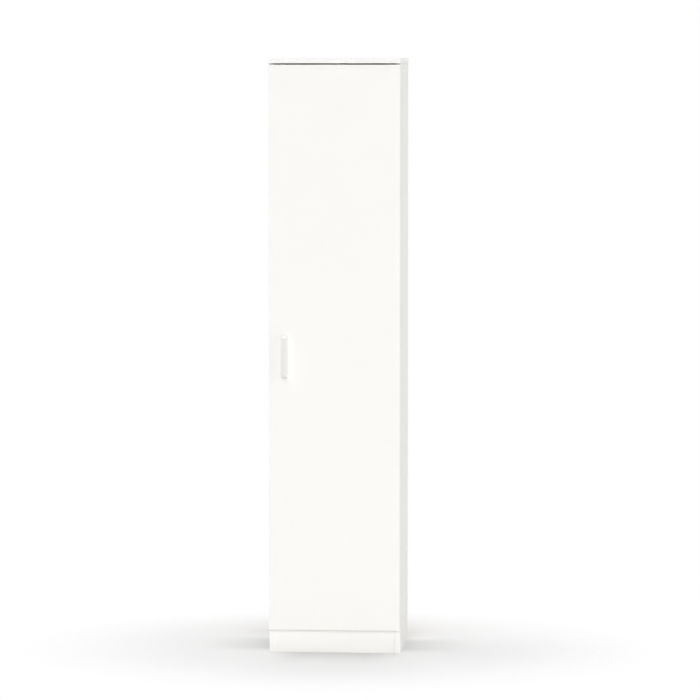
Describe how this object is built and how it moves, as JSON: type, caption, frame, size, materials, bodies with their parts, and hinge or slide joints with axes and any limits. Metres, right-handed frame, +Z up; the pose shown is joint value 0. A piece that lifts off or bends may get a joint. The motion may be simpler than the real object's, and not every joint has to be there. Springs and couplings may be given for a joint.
{
  "type": "broom cupboard",
  "caption": "Tall narrow white cupboard with one hinged door, a bow handle, a recessed plinth, a broom bay with hooks and shelves above it.",
  "frame": {"origin": "on the floor under the middle of the bounding box, handle included", "axes": "+Z up, -Y towards the front with the door, +X towards the hinge side (the viewer's right)"},
  "size_m": [0.4, 0.3844, 1.8],
  "materials": {
    "white_board": "white melamine-faced chipboard, fine satin texture",
    "white_edge_band": "white ABS edge banding, satin",
    "white_hardboard": "thin lacquered fibreboard, white on the inside",
    "white_plastic": "moulded white plastic, satin",
    "zinc_steel": "zinc-plated steel",
    "nickel_steel": "nickel-plated pressed steel",
    "satin_handle": "satin silver grey",
    "beech": "turned beech",
    "ferrite": "sintered ferrite",
    "clear_buffer": "clear soft buffer"
  },
  "bodies": {
    "carcass": {"back_joining_strip": "white_plastic", "back_screws": "zinc_steel", "bottom_board": "white_board", "cam_bolts": "zinc_steel", "cam_caps": "white_plastic", "cam_locks": "zinc_steel", "catch_case": "white_plastic", "catch_magnet": "ferrite", "catch_poles": "zinc_steel", "catch_screws": "zinc_steel", "door_buffers": "clear_buffer", "dowels": "beech", "fixed_shelf": "white_board", "hinge_arm_screws": "zinc_steel", "hinge_arms": "nickel_steel", "hinge_plate_screws": "zinc_steel", "hinge_plates": "nickel_steel", "left_side_panel": "white_board", "loose_shelf": "white_board", "lower_back_panel": "white_hardboard", "plinth_board": "white_board", "plinth_bracket_screws": "zinc_steel", "plinth_brackets": "zinc_steel", "right_side_panel": "white_board", "shelf_edge_bands": "white_edge_band", "shelf_pins": "zinc_steel", "side_edge_bands": "white_edge_band", "tool_hook_screws": "zinc_steel", "tool_hooks": "zinc_steel", "tool_rail": "white_board", "top_board": "white_board", "top_edge_bands": "white_edge_band", "upper_back_panel": "white_hardboard", "wall_bracket": "zinc_steel", "wall_bracket_screw": "zinc_steel"},
    "door": {"bow_handle": "satin_handle", "catch_strike": "zinc_steel", "door_edge_bands": "white_edge_band", "door_panel": "white_board", "handle_screws": "zinc_steel", "hinge_cup_screws": "zinc_steel", "hinge_cups": "nickel_steel", "hinge_pins": "nickel_steel"}
  },
  "joints": [
    {"name": "door_swing", "type": "hinge", "parent": "carcass", "child": "door", "pos_m": [0.1904, -0.14965, 0.9255], "axis": [0, 0, 1], "range_deg": [0, 95]}
  ]
}
